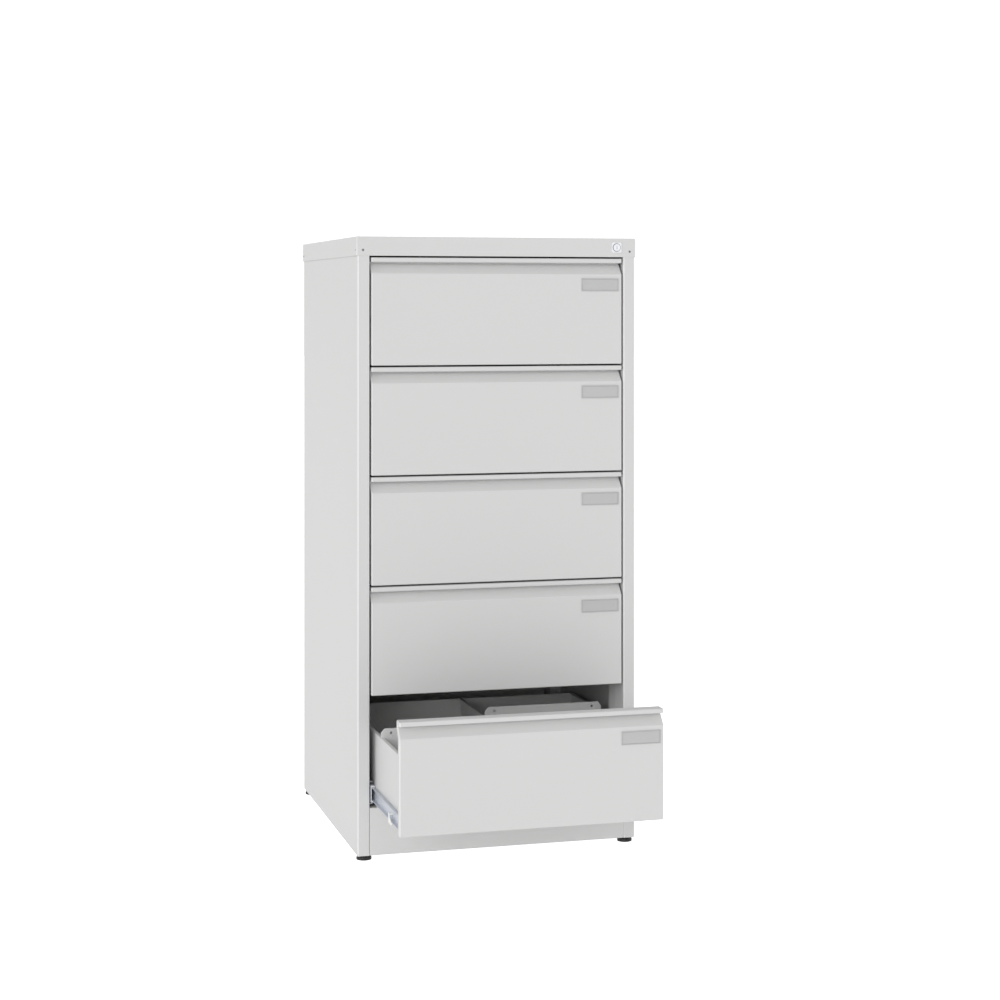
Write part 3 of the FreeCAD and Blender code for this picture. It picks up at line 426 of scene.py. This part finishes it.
def rows_tree():
    """Geometry nodes: a row of small round pieces from each point of the mesh."""
    tree = bpy.data.node_groups.new("rows_of_rounds", "GeometryNodeTree")
    add_socket(tree, "Geometry", "NodeSocketGeometry", "INPUT")
    add_socket(tree, "Count", "NodeSocketInt", "INPUT", 5)
    add_socket(tree, "Step", "NodeSocketVector", "INPUT")
    add_socket(tree, "Size", "NodeSocketVector", "INPUT")
    add_socket(tree, "Material", "NodeSocketMaterial", "INPUT")
    add_socket(tree, "Geometry", "NodeSocketGeometry", "OUTPUT")
    start = tree.nodes.new("NodeGroupInput")
    end = tree.nodes.new("NodeGroupOutput")
    line = tree.nodes.new("GeometryNodeMeshLine")
    rows = tree.nodes.new("GeometryNodeInstanceOnPoints")
    places = tree.nodes.new("GeometryNodeRealizeInstances")
    ball = tree.nodes.new("GeometryNodeMeshIcoSphere")
    rounds = tree.nodes.new("GeometryNodeInstanceOnPoints")
    real = tree.nodes.new("GeometryNodeRealizeInstances")
    smooth = tree.nodes.new("GeometryNodeSetShadeSmooth")
    paint = tree.nodes.new("GeometryNodeSetMaterial")
    ball.inputs["Radius"].default_value = 1.0
    ball.inputs["Subdivisions"].default_value = 3
    link = tree.links.new
    link(start.outputs["Count"], line.inputs["Count"])
    link(start.outputs["Step"], line.inputs["Offset"])
    link(start.outputs["Geometry"], rows.inputs["Points"])
    link(line.outputs["Mesh"], rows.inputs["Instance"])
    link(rows.outputs["Instances"], places.inputs["Geometry"])
    link(places.outputs["Geometry"], rounds.inputs["Points"])
    link(ball.outputs["Mesh"], rounds.inputs["Instance"])
    link(start.outputs["Size"], rounds.inputs["Scale"])
    link(rounds.outputs["Instances"], real.inputs["Geometry"])
    link(real.outputs["Geometry"], smooth.inputs["Geometry"])
    link(smooth.outputs["Geometry"], paint.inputs["Geometry"])
    link(start.outputs["Material"], paint.inputs["Material"])
    link(paint.outputs["Geometry"], end.inputs["Geometry"])
    return tree


def ribs_tree():
    """Geometry nodes: blocks round a circle, on each point of the mesh."""
    tree = bpy.data.node_groups.new("ribs_round_a_pad", "GeometryNodeTree")
    add_socket(tree, "Geometry", "NodeSocketGeometry", "INPUT")
    add_socket(tree, "Count", "NodeSocketInt", "INPUT", 24)
    add_socket(tree, "Radius", "NodeSocketFloat", "INPUT", 0.015)
    add_socket(tree, "Size", "NodeSocketVector", "INPUT")
    add_socket(tree, "Material", "NodeSocketMaterial", "INPUT")
    add_socket(tree, "Geometry", "NodeSocketGeometry", "OUTPUT")
    start = tree.nodes.new("NodeGroupInput")
    end = tree.nodes.new("NodeGroupOutput")
    circle = tree.nodes.new("GeometryNodeCurvePrimitiveCircle")
    points = tree.nodes.new("GeometryNodeCurveToPoints")
    rib = tree.nodes.new("GeometryNodeMeshCube")
    ring = tree.nodes.new("GeometryNodeInstanceOnPoints")
    ring_real = tree.nodes.new("GeometryNodeRealizeInstances")
    rings = tree.nodes.new("GeometryNodeInstanceOnPoints")
    real = tree.nodes.new("GeometryNodeRealizeInstances")
    paint = tree.nodes.new("GeometryNodeSetMaterial")
    link = tree.links.new
    link(start.outputs["Radius"], circle.inputs["Radius"])
    link(circle.outputs["Curve"], points.inputs["Curve"])
    link(start.outputs["Count"], points.inputs["Count"])
    link(start.outputs["Size"], rib.inputs["Size"])
    link(points.outputs["Points"], ring.inputs["Points"])
    link(points.outputs["Rotation"], ring.inputs["Rotation"])
    link(rib.outputs["Mesh"], ring.inputs["Instance"])
    link(ring.outputs["Instances"], ring_real.inputs["Geometry"])
    link(start.outputs["Geometry"], rings.inputs["Points"])
    link(ring_real.outputs["Geometry"], rings.inputs["Instance"])
    link(rings.outputs["Instances"], real.inputs["Geometry"])
    link(real.outputs["Geometry"], paint.inputs["Geometry"])
    link(start.outputs["Material"], paint.inputs["Material"])
    link(paint.outputs["Geometry"], end.inputs["Geometry"])
    return tree


def grown_piece(name, tree, points, values, body):
    """Plain mesh that a geometry tree grows from points. Values are set by socket name."""
    seed = bpy.data.meshes.new(name + "_points")
    seed.from_pydata([tuple(p) for p in points], [], [])
    carrier = bpy.data.objects.new(name + "_points", seed)
    bpy.context.scene.collection.objects.link(carrier)
    modifier = carrier.modifiers.new("grow", "NODES")
    modifier.node_group = tree
    sockets = {s.name: s.identifier for s in tree.interface.items_tree if s.in_out == "INPUT"}
    for key, value in values.items():
        modifier[sockets[key]] = value
    bpy.context.view_layer.update()
    grown = bpy.data.meshes.new_from_object(carrier.evaluated_get(bpy.context.evaluated_depsgraph_get()))
    grown.name = name
    carrier.modifiers.remove(modifier)
    bpy.data.objects.remove(carrier)
    return placed_piece(name, grown, body)


ROWS = rows_tree()
RIBS = ribs_tree()


def extruded(name, outline, axis, low, high, material, body, edge=0.0):
    """Closed piece from an outline across one axis, low to high, with rounded edges."""
    points = []
    for level in (low, high):
        for u, v in outline:
            point = [u, v]
            point.insert(axis, level)
            points.append(point)
    count = len(outline)
    faces = [tuple(range(count)), tuple(range(2 * count - 1, count - 1, -1))]
    for i in range(count):
        j = (i + 1) % count
        faces.append((i, j, count + j, count + i))
    piece = mesh_piece(name, points, faces, material, body)
    recalculated(piece, False, edge)
    return piece


def mirrored(outline):
    """The same outline on the left side, for outlines whose first value is x."""
    return [(-u, v) for u, v in reversed(outline)]


# ---------------------------------------------------------------- drawer pieces

def label_card(number):
    """Card behind the rim of a label frame, slightly bowed towards the viewer."""
    name = "drawer_" + str(number)
    low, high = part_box(name + "_label_holder")
    rim = LABEL_RIM + CARD_MARGIN
    back = high.y - LABEL_BACK
    columns = CARD_COLUMNS
    points = []
    faces = []
    for i in range(columns + 1):
        share = i / columns
        x = low.x + rim + share * (high.x - low.x - 2 * rim)
        bow = CARD_BOW * math.sin(math.pi * share)
        for y in (back - CARD_THICKNESS - bow, back - bow * 0.98):
            points.append((x, y, low.z + rim))
            points.append((x, y, high.z - rim))
    for i in range(columns):
        a = 4 * i
        b = a + 4
        faces.append((a, b, b + 1, a + 1))
        faces.append((a + 2, a + 3, b + 3, b + 2))
        faces.append((a, a + 2, b + 2, b))
        faces.append((a + 1, b + 1, b + 3, a + 3))
    faces.append((0, 1, 3, 2))
    last = 4 * columns
    faces.append((last, last + 2, last + 3, last + 1))
    return mesh_piece(name + "_label_card", points, faces, LABEL_CARD, name)


def cage_balls(number):
    """Rows of balls that show along the edges of the ball cages of one drawer's slides."""
    name = "drawer_" + str(number)
    low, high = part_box(name + "_slide_middles")
    middle_z = (low.z + high.z) / 2
    outer_z = (high.z - low.z) / 2 - BALL_RADIUS
    runner_low, runner_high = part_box(name + "_runners")
    inner_z = (runner_high.z - runner_low.z) / 2 + INNER_BALL_RISE
    first_ball = (CAGE_LENGTH - (BALLS_IN_A_CAGE - 1) * BALL_STEP) / 2
    outer_front = high.y - CAGE_END_ROOM - CAGE_LENGTH + first_ball
    inner_front = low.y + CAGE_END_ROOM + first_ball
    outer_x = high.x - OUTER_BALL_INSET
    inner_x = runner_high.x - INNER_BALL_INSET
    points = []
    small = []
    for side in (-1, 1):
        for up in (-1, 1):
            points.append((side * outer_x, outer_front, middle_z + up * outer_z))
            small.append((side * inner_x, inner_front, middle_z + up * inner_z))
    step = (0.0, BALL_STEP, 0.0)
    rows = (("_outer_balls", points, BALL_RADIUS), ("_inner_balls", small, INNER_BALL_RADIUS))
    for suffix, places, radius in rows:
        grown_piece(name + suffix, ROWS, places,
                    {"Count": BALLS_IN_A_CAGE, "Step": step, "Size": (radius, radius, radius),
                     "Material": BALL_STEEL},
                    name + "_middles")


def slide_ends(number):
    """White guide in the front end of each middle member, round the drawer's member."""
    name = "drawer_" + str(number)
    low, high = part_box(name + "_slide_middles")
    runner_low, runner_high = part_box(name + "_runners")
    middle = (low.z + high.z) / 2
    inner = (runner_high.z - runner_low.z) / 2 + GUIDE_GAP
    outer = inner + GUIDE_ARM
    back = high.x - GUIDE_BACK_INSET
    web = back - GUIDE_WEB
    tip = high.x - GUIDE_WIDTH
    front = low.y - GUIDE_PROUD
    section = [(tip, middle - outer), (back, middle - outer), (back, middle + outer), (tip, middle + outer),
               (tip, middle + inner), (web, middle + inner), (web, middle - inner), (tip, middle - inner)]
    for side, outline in (("_left", mirrored(section)), ("_right", section)):
        extruded(name + side + "_slide_guide", outline, 1, front, front + GUIDE_LENGTH,
                 GUIDE_PLASTIC, name + "_middles", 0.2 * MM)


def release_levers(number):
    """White lever on each drawer member. Its tip hangs below the member."""
    name = "drawer_" + str(number)
    low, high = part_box(name + "_runners")
    middle = (low.z + high.z) / 2
    foot = low.z - LEVER_DROP
    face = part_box(name + "_front")[0].y
    front = face + LEVER_PLACE
    rear = front + LEVER_LENGTH
    outline = [(rear - 6 * MM, middle + 3 * MM), (rear - 12 * MM, middle + 2 * MM),
               (rear - 14 * MM, middle - 4 * MM), (front + 10 * MM, middle - 11 * MM),
               (front, low.z + 1 * MM), (front + 1 * MM, foot + 2 * MM), (front + 5 * MM, foot),
               (rear - 9 * MM, foot), (rear - 5 * MM, foot + 2 * MM), (rear - 5 * MM, middle - 6 * MM)]
    near = high.x + LEVER_GAP
    for side, word in ((-1, "_left"), (1, "_right")):
        ends = sorted((side * near, side * (near + LEVER_THICKNESS)))
        extruded(name + word + "_release_lever", outline, 0, ends[0], ends[1],
                 GUIDE_PLASTIC, name, 0.3 * MM)
        hub = []
        for i in range(20):
            turn = 2 * math.pi * i / 20
            hub.append((rear - 9 * MM + HUB_RADIUS * math.cos(turn),
                        middle - 1 * MM + HUB_RADIUS * math.sin(turn)))
        ends = sorted((side * (high.x - HUB_REACH), side * (near + 0.4 * MM)))
        extruded(name + word + "_lever_hub", hub, 0, ends[0], ends[1], GUIDE_PLASTIC, name)


# ---------------------------------------------------------------- case pieces

def cap_corners():
    """Corner tabs of the front skirt, folded round onto the side skirts of the cap."""
    low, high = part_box("top_cap")
    skirt = CAP_SKIRT
    outline = [(low.y + 2.0 * MM, high.z - 2.4 * MM), (low.y + 6.5 * MM, high.z - 2.4 * MM),
               (low.y + 20.0 * MM, high.z - 0.70 * skirt), (low.y + 22.5 * MM, high.z - skirt + 0.6 * MM),
               (low.y + 2.0 * MM, high.z - skirt + 0.6 * MM)]
    for word, x in (("left", low.x), ("right", high.x)):
        out = CAP_TAB if x > 0 else -CAP_TAB
        ends = sorted((x - 2 * out, x + out))
        extruded("cap_" + word + "_corner_tab", outline, 0, ends[0], ends[1], CASE_PAINT, "case",
                 CAP_TAB_EDGE)



def rear_rivets():
    """Rivets that hold the rear panel to the two rear flanges."""
    low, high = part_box("right_side_panel")
    x = high.x - REAR_RIVET_INSET
    first = low.z + REAR_RIVET_RISE
    points = [(-x, high.y, first), (x, high.y, first)]
    grown_piece("rear_panel_rivets", ROWS, points,
                {"Count": REAR_RIVETS, "Step": (0.0, 0.0, REAR_RIVET_STEP),
                 "Size": (RIVET_RADIUS, RIVET_HEIGHT, RIVET_RADIUS), "Material": FASTENER_ZINC},
                "case")


def foot_ribs():
    """Grip ribs round the pad of each levelling foot."""
    for foot in FEET:
        low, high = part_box(foot)
        middle = (low + high) / 2
        grown_piece(foot + "_ribs", RIBS, [(middle.x, middle.y, FOOT_RIB_HEIGHT)],
                    {"Count": FOOT_RIBS, "Radius": (high.x - low.x) / 2 - FOOT_RIB_INSET,
                     "Size": FOOT_RIB_SIZE, "Material": FOOT_PLASTIC},
                    foot)


def lock_seal():
    """Dark ring that seals the collar of the lock against its square plate."""
    low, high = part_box("lock_core")
    centre = (low + high) / 2
    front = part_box("lock_housing")[0].y + LOCK_COLLAR
    points = []
    faces = []
    sides = 64
    corners = 10
    for i in range(sides):
        turn = 2 * math.pi * i / sides
        for j in range(corners):
            roll = 2 * math.pi * j / corners
            radius = LOCK_SEAL_RADIUS + LOCK_SEAL_THICKNESS * math.cos(roll)
            y = front + LOCK_SEAL_THICKNESS * math.sin(roll)
            points.append((centre.x + radius * math.cos(turn), y, centre.z + radius * math.sin(turn)))
    for i in range(sides):
        for j in range(corners):
            a = i * corners + j
            b = i * corners + (j + 1) % corners
            c = (i + 1) % sides * corners + (j + 1) % corners
            d = (i + 1) % sides * corners + j
            faces.append((a, b, c, d))
    piece = mesh_piece("lock_seal_ring", points, faces, SEAL_RUBBER, "case")
    recalculated(piece, True)
    return piece


# ---------------------------------------------------------------- stage

def floor():
    mesh = bpy.data.meshes.new("floor")
    far = FLOOR_HALF
    mesh.from_pydata([(-far, -far, 0), (far, -far, 0), (far, far, 0), (-far, far, 0)], [], [(0, 1, 2, 3)])
    plane = bpy.data.objects.new("floor", mesh)
    bpy.context.scene.collection.objects.link(plane)
    material, tree, shader, place = blank_material("floor_white")
    shader.inputs["Base Color"].default_value = (*FLOOR_WHITE, 1.0)
    shader.inputs["Roughness"].default_value = 0.9
    shader.inputs["Specular IOR Level"].default_value = 0.0
    shader.inputs["Emission Color"].default_value = (1.0, 1.0, 1.0, 1.0)
    path = tree.nodes.new("ShaderNodeLightPath")
    seen = maths(tree, "MULTIPLY", path.outputs["Is Camera Ray"], FLOOR_SEEN)
    tree.links.new(maths(tree, "MAXIMUM", seen, FLOOR_GLOW), shader.inputs["Emission Strength"])
    mesh.materials.append(material)


def soft_light(name, azimuth, elevation, strength):
    """Wide soft light from a direction. Azimuth counts from the front towards the left side."""
    lamp = bpy.data.lights.new(name, "SUN")
    lamp.angle = math.radians(LIGHT_SPREAD)
    lamp.energy = strength
    holder = bpy.data.objects.new(name, lamp)
    flat = math.cos(math.radians(elevation))
    towards = Vector((-flat * math.sin(math.radians(azimuth)), -flat * math.cos(math.radians(azimuth)),
                      math.sin(math.radians(elevation))))
    holder.location = towards * LIGHT_DISTANCE
    holder.rotation_euler = (-towards).to_track_quat("-Z", "Y").to_euler()
    bpy.context.scene.collection.objects.link(holder)


def studio():
    world = bpy.data.worlds.new("studio")
    world.use_nodes = True
    tree = world.node_tree
    background = tree.nodes["Background"]
    background.inputs["Color"].default_value = (1.0, 1.0, 1.0, 1.0)
    path = tree.nodes.new("ShaderNodeLightPath")
    split = tree.nodes.new("ShaderNodeSeparateXYZ")
    tree.links.new(tree.nodes.new("ShaderNodeTexCoord").outputs["Generated"], split.inputs["Vector"])
    height = maths(tree, "MAXIMUM", split.outputs["Z"], 0.0)
    ambient = maths(tree, "SUBTRACT", HORIZON_STRENGTH, maths(tree, "MULTIPLY", height, ZENITH_DROP))
    seen = maths(tree, "MULTIPLY", path.outputs["Is Camera Ray"], BACKDROP_SEEN)
    tree.links.new(maths(tree, "MAXIMUM", seen, ambient), background.inputs["Strength"])
    bpy.context.scene.world = world
    bpy.context.scene.view_settings.view_transform = "Standard"
    soft_light("front_light", *FRONT_LIGHT)
    soft_light("side_light", *SIDE_LIGHT)


def camera():
    lens = bpy.data.cameras.new("camera")
    lens.lens = CAMERA_LENS
    lens.sensor_width = 36.0
    lens.shift_y = CAMERA_SHIFT
    eye = bpy.data.objects.new("camera", lens)
    eye.location = CAMERA_PLACE
    eye.rotation_euler = (math.radians(90.0), 0.0, math.radians(CAMERA_TURN))
    bpy.context.scene.collection.objects.link(eye)
    bpy.context.scene.camera = eye


dress_nodes()
for drawer in DRAWERS:
    label_card(drawer)
    cage_balls(drawer)
    slide_ends(drawer)
    release_levers(drawer)
cap_corners()
rear_rivets()
foot_ribs()
lock_seal()
floor()
studio()
camera()
